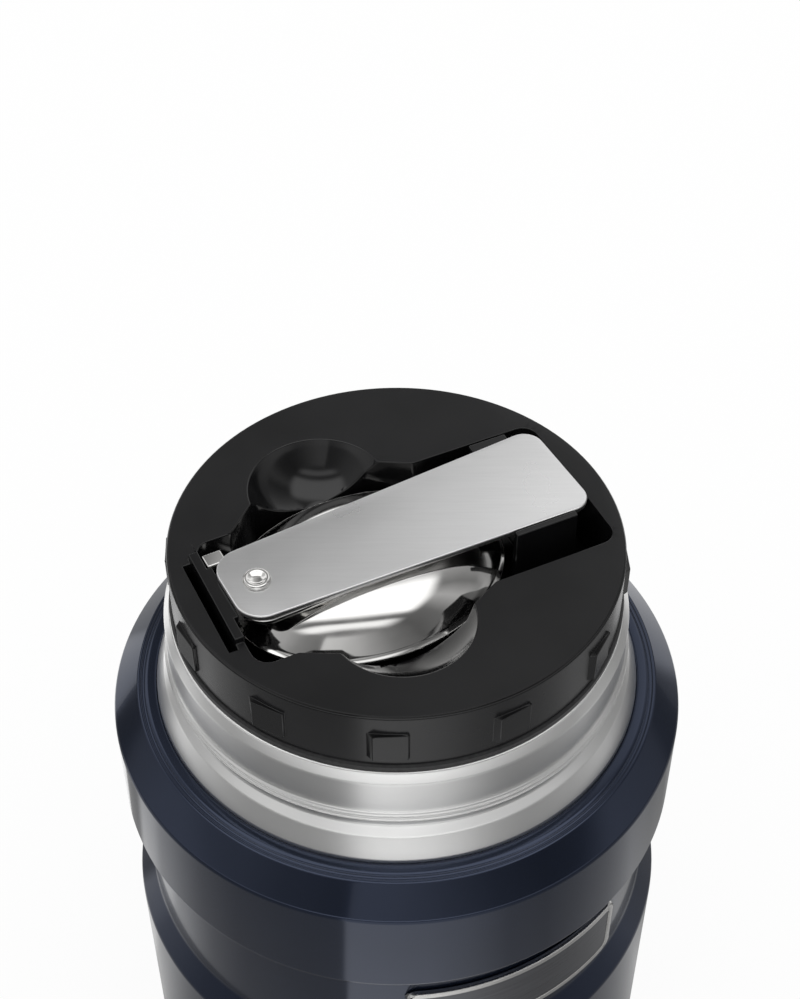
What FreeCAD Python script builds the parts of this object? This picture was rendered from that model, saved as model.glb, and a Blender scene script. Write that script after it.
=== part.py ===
import FreeCAD, Part
import math
import os
import re

import Sketcher

# Insulated food jar with a screw stopper that carries a folding spoon.
# Millimetres, +Z up, origin at the centre of the face that the jar rests on.

doc = FreeCAD.newDocument("food_jar")
sheet = doc.addObject("Spreadsheet::Sheet", "D")
nodes = []

sizes = {
    # Outer shell
    "shell_radius": 47.0, "shell_wall": 0.6, "shell_foot": 3.2, "foot_round": 2.4,
    "waist_step": 2.7, "waist_height": 22.0, "waist_bevel": 4.4, "ring_height": 18.2,
    "ring_edge": 0.5, "ring_lip": 0.8, "shoulder_width": 4.4, "shoulder_drop": 5.2,
    "edge_drop": 0.9, "groove_width": 0.7, "groove_drop": 1.2, "groove_rise": 0.5,
    "ledge_width": 3.1, "ledge_drop": 0.5,
    # Bare neck
    "neck_height": 17.1, "neck_wall": 0.7, "flange_width": 2.5, "flange_lap": 1.5,
    "flange_drop": 0.9, "lip_width": 1.0, "lip_bevel": 1.7, "ridge_drop": 8.3,
    "ridge_height": 2.0, "ridge_proud": 0.5, "ridge_split": 0.35, "hollow_step": 0.2,
    "hollow_height": 1.5, "flare_width": 1.0, "flare_height": 1.5,
    # Inner vessel
    "mouth_wall": 2.4, "mouth_depth": 18.5, "vessel_wall": 0.6, "vacuum_gap": 6.0,
    "vessel_slope": 7.0, "vessel_floor": 12.0, "vessel_corner": 9.0,
    # Screw thread
    "thread_lead": 24.0, "thread_starts": 4, "ramp_depth": 11.5, "ramp_turn": 58.0,
    "ramp_crest": 0.85, "thread_root": 1.7, "thread_tip": 1.1, "thread_slack": 0.3,
    "lug_turn": 38.0, "lug_lag": 10.0, "lug_crest": 1.1, "thread_bite": 0.3,
    # Vacuum parts and base
    "foil_gap": 0.15, "foil_wall": 0.15, "foil_start": 12.0, "foil_stop": 4.0,
    "getter_radius": 8.0, "getter_height": 1.6, "getter_offset": 20.0,
    "bottom_wall": 0.7, "bottom_step": 5.0, "bottom_rim": 2.6, "port_radius": 1.6,
    "seal_radius": 4.5, "seal_dish": 0.9, "base_wall": 1.4, "base_fit": 0.05,
    "pad_inset": 3.0, "pad_width": 3.2, "pad_seat": 0.6,
    # Nameplate
    "plate_turn": -62.5, "plate_width": 38.6, "plate_height": 13.1, "plate_rise": 10.8,
    "plate_wall": 1.0, "plate_border": 1.2, "plate_recess": 0.35, "plate_corner": 1.8,
    "plate_infill": 0.2, "tape_wall": 0.2, "tape_inset": 1.0, "tape_cut": 2.3,
    # Stopper cap
    "top_height": 123.4, "cap_height": 10.5, "cap_inset": 1.56, "cap_bevel": 0.5,
    "cap_wall": 1.8, "cap_roof": 2.2, "pocket_depth": 11.2, "cap_floor_wall": 1.4,
    "spigot_gap": 0.6, "pocket_wall": 1.5, "pocket_turn": 25.7,
    "grip_count": 12, "grip_turn": -92.5, "grip_width": 7.0, "grip_height": 5.3,
    "grip_drop": 6.2, "grip_proud": 0.8, "grip_low": 0.3, "grip_slope": 1.7, "grip_round": 0.3,
    # Spoon pocket
    "left_margin": 6.4, "right_margin": 4.54, "pocket_front": 14.8, "pocket_back": 13.8,
    "nook_back": 11.8, "pocket_corner": 2.6,
    "bay_margin": 12.9, "bay_right": 2.9, "bay_slope": 6.6, "bay_front": 18.2, "bay_back": 17.6,
    "bay_round": 1.0,
    "scoop_offset": 6.4, "scoop_middle": 15.5, "scoop_radius": 11.1, "scoop_depth": 6.5,
    "rib_wall": 1.5, "rib_half": 9.5, "rib_gap": 1.3, "rib_gap_depth": 6.0, "rib_proud": 1.1,
    "rib_nose": 0.8, "rib_nose_height": 1.6, "rib_nose_half": 5.5,
    # Spoon cradle
    "cradle_fit": 0.1, "cradle_wall": 1.0, "post_margin": 4.4, "post_length": 10.6,
    "post_front": 9.8, "post_wall": 1.35, "clip_wall": 1.05, "clip_proud": 2.3,
    "post_slack": 0.1, "back_post_start": 3.0, "back_post_end": 1.0,
    "back_post_inner": 9.9, "back_post_outer": 12.6, "rest_half": 4.0, "rest_wall": 2.0,
    "rest_margin": 5.9, "rest_slack": 0.5,
    # Spoon
    "spoon_turn": 28.0, "pivot_margin": 5.54, "pivot_v": -1.0, "handle_proud": 2.2,
    "handle_wall": 1.0, "handle_tail": 4.9, "handle_gap": 1.0, "handle_tail_half": 7.15,
    "handle_end_half": 9.7, "handle_tail_corner": 4.2, "handle_end_corner": 3.4,
    "washer_radius": 4.6, "washer_wall": 0.25, "shank_wall": 1.0, "shank_reach": 13.4,
    "shank_inset": 0.6,
    "bowl_overlap": 4.4, "bowl_tip_gap": 12.3, "bowl_half": 17.4, "bowl_dome": 8.0,
    "bowl_depth": 7.0, "bowl_sink": 12.0, "rivet_radius": 1.5, "rivet_fit": 0.06,
    "rivet_head_radius": 2.2, "rivet_head_height": 0.8, "rivet_foot_height": 0.7,
    # Stopper plug
    "plug_gap": 1.4, "plug_wall": 1.5, "plug_depth": 26.8, "plug_round": 2.0,
    "foam_gap": 0.2, "joint_ring_wall": 1.2, "joint_ring_width": 2.1,
    "gasket_height": 1.4, "gasket_inset": 0.1, "gasket_round": 0.3, "gasket_fit": 0.05,
}

# Places worked out from the sizes, written P.word in the expressions below
places = {
    "cap_foot": "D.top_height - D.cap_height",
    "lip_top": "P.cap_foot - D.gasket_height",
    "ledge_top": "P.lip_top - D.neck_height",
    "ledge_outer": "P.ledge_top - D.ledge_drop",
    "ledge_groove": "P.ledge_top - D.groove_drop",
    "shoulder_edge": "P.ledge_top - D.edge_drop",
    "ring_top": "P.ledge_top - D.shoulder_drop",
    "ring_foot": "P.ring_top - D.ring_height",
    "waist_top": "P.ring_foot - D.ring_lip",
    "waist_foot": "P.waist_top - D.waist_height",
    "waist_bevel_foot": "P.waist_foot - D.waist_bevel",
    "waist_radius": "D.shell_radius - D.waist_step",
    "shoulder_edge_radius": "D.shell_radius - D.shoulder_width",
    "ledge_groove_radius": "P.shoulder_edge_radius - D.groove_width",
    "ledge_outer_radius": "P.ledge_groove_radius - D.groove_rise",
    "ledge_radius": "P.shoulder_edge_radius - D.ledge_width",
    "neck_radius": "P.ledge_radius - D.flange_width",
    "lip_radius": "P.neck_radius - D.lip_width",
    "lip_bevel_foot": "P.lip_top - D.lip_bevel",
    "ridge_top": "P.lip_top - D.ridge_drop",
    "ridge_foot": "P.ridge_top - D.ridge_height",
    "hollow_radius": "P.neck_radius - D.hollow_step",
    "hollow_foot": "P.ridge_foot - D.hollow_height",
    "flare_top_radius": "P.neck_radius + D.flare_width",
    "flare_top": "P.hollow_foot - D.flare_height",
    "flange_reach": "P.ledge_radius + D.flange_lap",
    "mouth_radius": "P.neck_radius - D.mouth_wall",
    "mouth_foot": "P.lip_top - D.mouth_depth",
    "vessel_radius": "D.shell_radius - D.vacuum_gap",
    "vessel_shoulder": "P.mouth_foot - D.vessel_slope",
    "ramp_height": "P.lip_top - D.ramp_depth",
    "foil_foot": "D.vessel_floor + D.foil_start",
    "foil_top": "P.vessel_shoulder - D.foil_stop",
    "pad_radius": "D.shell_radius - D.pad_inset",
    "plate_middle": "P.waist_foot + D.plate_rise",
    "cap_radius": "P.neck_radius - D.cap_inset",
    "cap_floor": "D.top_height - D.pocket_depth",
    "cap_spigot_radius": "P.mouth_radius - D.spigot_gap",
    "grip_middle": "D.top_height - D.grip_drop",
    "pocket_left": "P.cap_radius - D.left_margin",
    "pocket_right": "P.cap_radius - D.right_margin",
    "bay_left": "P.pocket_left - D.bay_margin",
    "post_right": "P.pocket_right - D.post_margin",
    "post_left": "P.post_right - D.post_length",
    "under_handle": "D.top_height + D.handle_proud - D.handle_wall",
    "pivot_u": "D.pivot_margin - P.pocket_left",
    "handle_reach": "P.pocket_right - D.handle_gap - P.pivot_u",
    "bowl_length_half": "0.5 * (P.handle_reach + D.bowl_overlap - D.bowl_tip_gap)",
    "bowl_middle": "P.bowl_length_half - D.bowl_overlap",
    "bowl_ball_height": "D.bowl_dome + D.bowl_sink",
    "bowl_ball_share": "sqrt(1 - (D.bowl_sink / P.bowl_ball_height) ^ 2)",
    "shank_end": "P.bowl_middle + D.shank_reach",
    "plug_radius": "P.mouth_radius - D.plug_gap",
    "plug_foot": "P.cap_floor - D.plug_depth",
    "gasket_radius": "P.lip_radius - D.gasket_inset",
}

for row, (word, size) in enumerate(sizes.items(), start=1):
    sheet.set("A%d" % row, word)
    sheet.set("B%d" % row, str(size))
    sheet.setAlias("B%d" % row, word)
doc.recompute()


def spell(expression):
    """The expression with every P.word written out in sizes of the sheet."""
    while "P." in expression:
        expression = re.sub(r"P\.(\w+)", lambda m: "(" + places[m.group(1)] + ")", expression)
    return expression


def size_of(expression):
    return float(sheet.evalExpression(spell(expression).replace("D.", "")))


def bind(thing, **expressions):
    for name, expression in expressions.items():
        thing.setExpression(name.replace("__", "."), spell(expression))


def keep(thing, label):
    thing.Label = label
    nodes.append(thing)
    return thing


def plane_of(body, role):
    return next(f for f in body.Origin.OriginFeatures if f.Role == role)


def outline_sketch(body, name, role, corners):
    """Closed outline whose corners are pairs of sheet expressions."""
    sketch = body.newObject("Sketcher::SketchObject", name)
    sketch.AttachmentSupport = [(plane_of(body, role), "")]
    sketch.MapMode = "FlatFace"
    points = [FreeCAD.Vector(size_of(x), size_of(y), 0) for x, y in corners]
    count = len(points)
    for i in range(count):
        sketch.addGeometry(Part.LineSegment(points[i], points[(i + 1) % count]), False)
    for i in range(count):
        sketch.addConstraint(Sketcher.Constraint("Coincident", i, 2, (i + 1) % count, 1))
    for i, (x, y) in enumerate(corners):
        for axis, expression, place in (("X", x, points[i].x), ("Y", y, points[i].y)):
            if abs(place) < 1e-9:
                line = -2 if axis == "X" else -1
                sketch.addConstraint(Sketcher.Constraint("PointOnObject", i, 1, line))
                continue
            index = sketch.addConstraint(Sketcher.Constraint("Distance" + axis, i, 1, place))
            sketch.setExpression("Constraints[%d]" % index, spell(expression))
    return sketch


def turned_body(name, corners):
    """Solid of revolution about Z from (radius, height) expressions."""
    body = doc.addObject("PartDesign::Body", name)
    sketch = outline_sketch(body, name + "_outline", "XZ_Plane", corners)
    turn = body.newObject("PartDesign::Revolution", name + "_turn")
    turn.Profile = sketch
    turn.ReferenceAxis = (sketch, ["V_Axis"])
    turn.Angle = 360.0
    doc.recompute()
    return body


def prism(name, corners, foot, height, corner_radius=None):
    """Upright prism from (x, y) expressions, with its upright edges rounded if asked."""
    body = doc.addObject("PartDesign::Body", name)
    sketch = outline_sketch(body, name + "_outline", "XY_Plane", corners)
    bind(sketch, AttachmentOffset__Base__z=foot)
    pad = body.newObject("PartDesign::Pad", name + "_pad")
    pad.Profile = sketch
    bind(pad, Length=height)
    doc.recompute()
    if corner_radius is None:
        return body
    for group, radius in corner_radius:
        base = body.Tip
        spots = [(size_of(corners[i][0]), size_of(corners[i][1])) for i in group]
        names = []
        for number, edge in enumerate(base.Shape.Edges, start=1):
            ends = [v.Point for v in edge.Vertexes]
            if len(ends) != 2 or abs(ends[0].z - ends[1].z) < 1e-6:
                continue
            if any(math.hypot(ends[0].x - x, ends[0].y - y) < 0.01 for x, y in spots):
                names.append("Edge%d" % number)
        fillet = body.newObject("PartDesign::Fillet", "%s_corners_%d" % (name, len(names)))
        fillet.Base = (base, names)
        bind(fillet, Radius=radius)
        doc.recompute()
    return body


def cylinder(name, radius, foot, height, x="0", y="0"):
    thing = doc.addObject("Part::Cylinder", name)
    bind(thing, Radius=radius, Height=height, Placement__Base__x=x,
         Placement__Base__y=y, Placement__Base__z=foot)
    return thing


def box(name, x, y, z, length, width, height):
    thing = doc.addObject("Part::Box", name)
    bind(thing, Length=length, Width=width, Height=height, Placement__Base__x=x,
         Placement__Base__y=y, Placement__Base__z=z)
    return thing


def cut(name, base, tool):
    thing = doc.addObject("Part::Cut", name)
    thing.Base = base
    thing.Tool = tool
    doc.recompute()
    return thing


def fuse(name, parts):
    thing = doc.addObject("Part::MultiFuse", name)
    thing.Shapes = parts
    doc.recompute()
    return thing


def common(name, parts):
    thing = doc.addObject("Part::MultiCommon", name)
    thing.Shapes = parts
    doc.recompute()
    return thing


def turn_about_z(thing, angle):
    thing.Placement = FreeCAD.Placement(thing.Placement.Base, FreeCAD.Rotation(0, 0, 0))
    bind(thing, Placement__Rotation__Angle=angle)
    thing.Placement.Rotation.Axis = FreeCAD.Vector(0, 0, 1)
    doc.recompute()


# Outer shell

def build_outer_shell():
    wall = "D.shell_wall"
    outside = [
        ("D.shell_radius", "D.shell_foot"),
        ("D.shell_radius", "P.waist_bevel_foot"),
        ("P.waist_radius", "P.waist_foot"),
        ("P.waist_radius", "P.waist_top"),
        ("D.shell_radius - D.ring_edge", "P.ring_foot"),
        ("D.shell_radius", "P.ring_foot + D.ring_edge"),
        ("D.shell_radius", "P.ring_top"),
        ("P.shoulder_edge_radius", "P.shoulder_edge"),
        ("P.ledge_groove_radius", "P.ledge_groove"),
        ("P.ledge_outer_radius", "P.ledge_outer"),
        ("P.ledge_radius", "P.ledge_top"),
    ]
    inside = [
        ("P.ledge_radius", "P.ledge_top - " + wall),
        ("P.ledge_outer_radius", "P.ledge_outer - " + wall),
        ("P.ledge_groove_radius", "P.ledge_groove - " + wall),
        ("D.shell_radius - " + wall, "P.ring_top - 0.4 * " + wall),
        ("D.shell_radius - " + wall, "P.ring_foot + D.ring_edge + 0.7 * " + wall),
        ("P.waist_radius - " + wall, "P.waist_top + " + wall),
        ("P.waist_radius - " + wall, "P.waist_foot - 0.3 * " + wall),
        ("D.shell_radius - " + wall, "P.waist_bevel_foot - 0.3 * " + wall),
        ("D.shell_radius - " + wall, "D.shell_foot"),
    ]
    return keep(turned_body("outer_shell", outside + inside), "outer_shell")


# Bare steel neck

def build_neck():
    wall = "D.neck_wall"
    middle = "0.5 * (P.ridge_top + P.ridge_foot)"
    outside = [
        ("P.flange_reach", "P.ledge_top - D.flange_drop - 1.3"),
        ("P.flange_reach", "P.ledge_top - D.flange_drop - 0.7"),
        ("P.ledge_radius", "P.ledge_top - D.flange_drop + 0.2"),
        ("P.ledge_radius", "P.ledge_top"),
        ("P.flare_top_radius", "P.flare_top"),
        ("P.hollow_radius", "P.hollow_foot"),
        ("P.hollow_radius", "P.ridge_foot - 0.2"),
        ("P.neck_radius + D.ridge_proud", "P.ridge_foot + 0.3"),
        ("P.neck_radius + D.ridge_proud", middle + " - D.ridge_split"),
        ("P.neck_radius", middle),
        ("P.neck_radius + D.ridge_proud", middle + " + D.ridge_split"),
        ("P.neck_radius + D.ridge_proud", "P.ridge_top - 0.3"),
        ("P.neck_radius", "P.ridge_top + 0.1"),
        ("P.neck_radius", "P.lip_bevel_foot"),
        ("P.lip_radius", "P.lip_top"),
        ("P.mouth_radius + D.vessel_wall", "P.lip_top"),
    ]
    inside = [
        ("P.mouth_radius + D.vessel_wall", "P.lip_top - 1.1"),
        ("P.neck_radius - " + wall, "P.lip_bevel_foot - 0.6"),
        ("P.neck_radius - " + wall, "P.ridge_foot"),
        ("P.hollow_radius - " + wall, "P.ridge_foot - 0.6"),
        ("P.hollow_radius - " + wall, "P.hollow_foot"),
        ("P.flare_top_radius - " + wall, "P.flare_top - 0.5"),
        ("P.ledge_radius - 1.2", "P.ledge_top - D.flange_drop"),
    ]
    return keep(turned_body("neck_sleeve", outside + inside), "neck_sleeve")


# Screw thread segments

def thread_segment(name, root, crest, height, start, turn):
    """One swept segment of the multi-start thread, between two radii."""
    lead = size_of("D.thread_lead")
    rise = lead * turn / 360.0
    tall = size_of("D.thread_root") / 2.0
    short = size_of("D.thread_tip") / 2.0
    corners = [(root, -tall), (crest, -short), (crest, short), (root, tall)]
    points = [FreeCAD.Vector(r, 0, z) for r, z in corners]
    profile = Part.makePolygon(points + [points[0]])
    path = Part.Wire(Part.makeHelix(lead, rise, 0.5 * (root + crest)).Edges)
    solid = path.makePipeShell([profile], True, True)
    feature = doc.addObject("Part::Feature", name)
    feature.Shape = solid
    bind(feature, Placement__Base__z=height, Placement__Rotation__Angle=start)
    doc.recompute()
    return feature


def thread_ring(name, root, crest, height, first, turn):
    starts = int(size_of("D.thread_starts"))
    return [
        thread_segment("%s_%d" % (name, i + 1), size_of(root), size_of(crest), height,
                       "%s + %d * 360 / D.thread_starts" % (first, i), size_of(turn))
        for i in range(starts)
    ]


# Inner vessel

def build_inner_vessel():
    wall = "D.vessel_wall"
    outside = [
        ("0", "D.vessel_floor - " + wall),
        ("P.vessel_radius - D.vessel_corner", "D.vessel_floor - " + wall),
        ("P.vessel_radius - 0.3 * D.vessel_corner", "D.vessel_floor + 0.28 * D.vessel_corner"),
        ("P.vessel_radius + " + wall, "D.vessel_floor + D.vessel_corner"),
        ("P.vessel_radius + " + wall, "P.vessel_shoulder"),
        ("P.mouth_radius + " + wall, "P.mouth_foot"),
        ("P.mouth_radius + " + wall, "P.lip_top"),
        ("P.mouth_radius", "P.lip_top"),
    ]
    inside = [
        ("P.mouth_radius", "P.mouth_foot - 0.35 * " + wall),
        ("P.vessel_radius", "P.vessel_shoulder - 0.35 * " + wall),
        ("P.vessel_radius", "D.vessel_floor + D.vessel_corner"),
        ("P.vessel_radius - 0.3 * D.vessel_corner - 0.7 * " + wall,
         "D.vessel_floor + 0.28 * D.vessel_corner + 0.5 * " + wall),
        ("P.vessel_radius - D.vessel_corner", "D.vessel_floor"),
        ("0", "D.vessel_floor"),
    ]
    cup = turned_body("vessel_cup", outside + inside)
    ramps = thread_ring("ramp", "P.mouth_radius + D.thread_bite",
                        "P.mouth_radius - D.ramp_crest", "P.ramp_height", "0", "D.ramp_turn")
    return keep(fuse("inner_vessel", [cup] + ramps), "inner_vessel")


def build_vacuum_parts():
    inner = "P.vessel_radius + D.vessel_wall + D.foil_gap"
    outer = inner + " + D.foil_wall"
    foil = turned_body("radiation_foil", [
        (inner, "P.foil_foot"), (outer, "P.foil_foot"), (outer, "P.foil_top"),
        (inner, "P.foil_top")])
    keep(foil, "radiation_foil")
    getter = cylinder("getter", "D.getter_radius",
                      "D.vessel_floor - D.vessel_wall - D.getter_height", "D.getter_height",
                      "D.getter_offset")
    keep(getter, "getter")


# Bottom of the steel body, its evacuation port and the cover under it

def build_bottom():
    inner = "D.shell_radius - D.shell_wall"
    dish = turned_body("bottom_dish", [
        ("0", "D.bottom_step"),
        ("D.seal_radius", "D.bottom_step"),
        ("D.seal_radius + 1.2", "D.bottom_step - D.seal_dish"),
        (inner + " - D.bottom_wall", "D.bottom_step - D.seal_dish"),
        (inner + " - D.bottom_wall", "D.shell_foot"),
        (inner, "D.shell_foot"),
        (inner, "D.bottom_step - D.seal_dish + D.bottom_rim"),
        (inner + " - D.bottom_wall", "D.bottom_step - D.seal_dish + D.bottom_rim"),
        (inner + " - D.bottom_wall", "D.bottom_step - D.seal_dish + D.bottom_wall"),
        ("D.seal_radius + 1.5", "D.bottom_step - D.seal_dish + D.bottom_wall"),
        ("D.seal_radius + 0.3", "D.bottom_step + D.bottom_wall"),
        ("0", "D.bottom_step + D.bottom_wall")])
    port = cylinder("port", "D.port_radius", "D.bottom_step - 1", "D.bottom_wall + 2")
    keep(cut("outer_bottom", dish, port), "outer_bottom")
    seal = turned_body("vacuum_seal", [
        ("0", "D.bottom_step - 0.6"),
        ("D.seal_radius - 1", "D.bottom_step - 0.4"),
        ("D.seal_radius - 0.4", "D.bottom_step"),
        ("D.port_radius", "D.bottom_step"),
        ("D.port_radius", "D.bottom_step + 0.5 * D.bottom_wall"),
        ("0", "D.bottom_step + 0.5 * D.bottom_wall")])
    keep(seal, "vacuum_seal")
    fit = "D.shell_radius - D.shell_wall - D.bottom_wall - D.base_fit"
    cover = turned_body("cover_dish", [
        ("0", "D.pad_seat"),
        ("D.shell_radius - D.foot_round", "D.pad_seat"),
        ("D.shell_radius - 0.3", "D.shell_foot - 0.6"),
        ("D.shell_radius - 0.3", "D.shell_foot"),
        (fit, "D.shell_foot"),
        (fit, "D.bottom_step - D.seal_dish"),
        (fit + " - D.base_wall", "D.bottom_step - D.seal_dish"),
        (fit + " - D.base_wall", "D.pad_seat + D.base_wall + D.pad_seat"),
        ("0", "D.pad_seat + D.base_wall + D.pad_seat")])
    groove = turned_body("pad_groove", [
        ("P.pad_radius - D.pad_width", "0"), ("P.pad_radius", "0"),
        ("P.pad_radius", "D.pad_seat + D.pad_seat"),
        ("P.pad_radius - D.pad_width", "D.pad_seat + D.pad_seat")])
    keep(cut("base_cover", cover, groove), "base_cover")
    pad = turned_body("foot_pad", [
        ("P.pad_radius - D.pad_width", "0"), ("P.pad_radius", "0"),
        ("P.pad_radius", "D.pad_seat + D.pad_seat"),
        ("P.pad_radius - D.pad_width", "D.pad_seat + D.pad_seat")])
    keep(pad, "foot_pad")


# Nameplate, curved to the waist

def curved_plate(name, inner, wall, width, height, corner):
    """Rounded rectangle facing +X, cut from a tube about Z."""
    slab = prism(name + "_slab", [
        ("-0.5 * " + width, "-0.5 * " + height), ("0.5 * " + width, "-0.5 * " + height),
        ("0.5 * " + width, "0.5 * " + height), ("-0.5 * " + width, "0.5 * " + height)],
        "0", "2 * D.shell_radius", [((0, 1, 2, 3), corner)])
    slab.Placement = FreeCAD.Placement(
        FreeCAD.Vector(0, 0, size_of("P.plate_middle")),
        FreeCAD.Rotation(FreeCAD.Vector(0, 1, 0), FreeCAD.Vector(0, 0, 1),
                         FreeCAD.Vector(1, 0, 0), "XYZ"))
    bind(slab, Placement__Base__z="P.plate_middle")
    outer_tube = cylinder(name + "_outer", inner + " + " + wall, "0", "D.top_height")
    inner_tube = cylinder(name + "_inner", inner, "0", "D.top_height")
    tube = cut(name + "_tube", outer_tube, inner_tube)
    return common(name + "_curved", [slab, tube])


def build_nameplate():
    tape_inner = "P.waist_radius"
    plate_inner = "P.waist_radius + D.tape_wall"
    field = plate_inner + " + D.plate_wall - D.plate_recess"
    tape = curved_plate("nameplate_tape", tape_inner, "D.tape_wall",
                        "(D.plate_width - 2 * D.tape_inset)",
                        "(D.plate_height - 2 * D.tape_cut)", "D.plate_corner - D.tape_inset")
    blank = curved_plate("plate_blank", plate_inner, "D.plate_wall", "D.plate_width",
                         "D.plate_height", "D.plate_corner")
    inset = curved_plate("plate_inset", field, "D.plate_recess + 1",
                         "(D.plate_width - 2 * D.plate_border)",
                         "(D.plate_height - 2 * D.plate_border)",
                         "D.plate_corner - 0.6 * D.plate_border")
    frame = cut("nameplate_cut", blank, inset)
    bevel = turned_body("plate_bevel", [
        ("P.waist_radius", "P.waist_bevel_foot - 4"),
        ("D.shell_radius + 0.05", "P.waist_bevel_foot - 4"),
        ("D.shell_radius + 0.05", "P.waist_bevel_foot"),
        ("P.waist_radius + 0.05", "P.waist_foot"),
        ("P.waist_radius", "P.waist_foot")])
    plate = cut("nameplate", frame, bevel)
    infill = curved_plate("nameplate_field", field, "D.plate_infill",
                          "(D.plate_width - 2 * D.plate_border - 0.1)",
                          "(D.plate_height - 2 * D.plate_border - 0.1)",
                          "D.plate_corner - 0.6 * D.plate_border")
    for thing, label in ((plate, "nameplate"), (infill, "nameplate_field"),
                         (tape, "nameplate_tape")):
        turn_about_z(thing, "D.plate_turn")
        keep(thing, label)


# Outline of the spoon pocket; grow moves the walls outward

def pocket_corners(grow):
    upper = [
        ("P.pocket_right + " + grow, "D.pocket_back + " + grow),
        ("D.bay_right + D.bay_slope", "D.pocket_back + " + grow),
        ("D.bay_right", "D.bay_back + " + grow),
        ("-P.bay_left", "D.bay_back + " + grow),
        ("-P.bay_left - D.bay_slope", "D.nook_back + " + grow),
        ("-P.pocket_left - " + grow, "D.nook_back + " + grow),
    ]
    lower = [
        ("-P.pocket_left - " + grow, "-D.pocket_front - " + grow),
        ("-P.bay_left - D.bay_slope", "-D.pocket_front - " + grow),
        ("-P.bay_left", "-D.bay_front - " + grow),
        ("D.bay_right", "-D.bay_front - " + grow),
        ("D.bay_right + D.bay_slope", "-D.pocket_front - " + grow),
        ("P.pocket_right + " + grow, "-D.pocket_front - " + grow),
    ]
    return upper + lower


def pocket_prism(name, grow, foot, height):
    corners = pocket_corners(grow)
    half = len(corners) // 2
    ends = (0, half - 1, half, 2 * half - 1)
    bays = tuple(i for i in range(2 * half) if i not in ends)
    return prism(name, corners, foot, height,
                 [(ends, "D.pocket_corner"), (bays, "D.bay_round")])


def scoop(name, side, grow="0"):
    """Ball that dishes a finger scoop beside the pocket; side is 1 or -1."""
    ball_radius = "((D.scoop_radius ^ 2 + D.scoop_depth ^ 2) / (2 * D.scoop_depth))"
    ball = doc.addObject("Part::Sphere", name)
    bind(ball, Radius=ball_radius + " + " + grow, Placement__Base__x="-D.scoop_offset",
         Placement__Base__y="%d * D.scoop_middle" % side,
         Placement__Base__z="D.top_height - D.scoop_depth + " + ball_radius)
    return ball


def grip(number):
    """One raised finger grip on the skirt: a short steep face, then a long one that falls away."""
    name = "grip_%d" % number
    pad = prism(name, [
        ("P.cap_radius - 1", "-0.5 * D.grip_width"),
        ("P.cap_radius + D.grip_proud", "-0.5 * D.grip_width + D.grip_slope"),
        ("P.cap_radius + D.grip_low", "0.5 * D.grip_width"),
        ("P.cap_radius - 1", "0.5 * D.grip_width")],
        "P.grip_middle - 0.5 * D.grip_height", "D.grip_height", [((1, 2), "D.grip_round")])
    turn_about_z(pad, "D.grip_turn + %d * 360 / D.grip_count" % number)
    return pad


def build_stopper_cap():
    blank = turned_body("cap_blank", [
        ("0", "P.cap_floor - D.cap_floor_wall"),
        ("P.cap_spigot_radius", "P.cap_floor - D.cap_floor_wall"),
        ("P.cap_spigot_radius", "P.cap_foot"),
        ("P.cap_radius", "P.cap_foot"),
        ("P.cap_radius", "D.top_height - D.cap_bevel"),
        ("P.cap_radius - 0.35 * D.cap_bevel", "D.top_height - 0.35 * D.cap_bevel"),
        ("P.cap_radius - D.cap_bevel", "D.top_height"),
        ("0", "D.top_height")])
    hollow = turned_body("cap_hollow", [
        ("0", "P.cap_floor"), ("P.cap_radius - D.cap_wall", "P.cap_floor"),
        ("P.cap_radius - D.cap_wall", "D.top_height - D.cap_roof"),
        ("0", "D.top_height - D.cap_roof")])
    bare = cut("cap_bare", blank, hollow)
    drum = cylinder("cap_drum", "P.cap_spigot_radius", "P.cap_floor - 0.5",
                    "D.top_height - P.cap_floor - 0.5")
    walls = pocket_prism("pocket_walls", "D.pocket_wall", "P.cap_floor - 0.5",
                         "D.top_height - P.cap_floor - 0.5")
    wall_block = common("pocket_wall_block", [walls, drum])
    scoops = [scoop("scoop_back", 1), scoop("scoop_front", -1)]
    lining = []
    for side in (1, -1):
        skin = scoop("scoop_skin_%d" % (side + 2), side, "D.pocket_wall")
        lid = cylinder("scoop_drum_%d" % (side + 2), "P.cap_spigot_radius", "P.cap_floor",
                       "D.top_height - P.cap_floor - 0.5")
        lining.append(common("scoop_lining_%d" % (side + 2), [skin, lid]))
    body = fuse("cap_walled", [bare, wall_block] + lining)
    hole = pocket_prism("pocket_hole", "0", "P.cap_floor", "20")
    slot = box("rib_slot", "-P.pocket_left - D.rib_wall - D.rib_gap", "-D.rib_half - 1",
               "D.top_height - D.rib_gap_depth", "D.rib_gap", "2 * D.rib_half", "20")
    tools = fuse("cap_tools", [hole, slot] + scoops)
    pocketed = cut("cap_pocketed", body, tools)
    rib_block = box("rib_block", "-P.pocket_left - D.rib_wall", "-D.rib_half",
                    "P.cap_floor", "D.rib_wall", "2 * D.rib_half",
                    "D.top_height + D.rib_proud - P.cap_floor")
    nose = box("rib_nose_block", "-P.pocket_left", "-D.rib_nose_half",
               "D.top_height + D.rib_proud - D.rib_nose_height", "D.rib_nose",
               "2 * D.rib_nose_half", "D.rib_nose_height")
    whole = fuse("cap_whole", [pocketed, rib_block, nose])
    turn_about_z(whole, "D.pocket_turn")
    grips = [grip(n) for n in range(int(size_of("D.grip_count")))]
    keep(fuse("stopper_cap", [whole] + grips), "stopper_cap")


# Spoon cradle: a tray in the pocket with the posts that carry the clips

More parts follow.
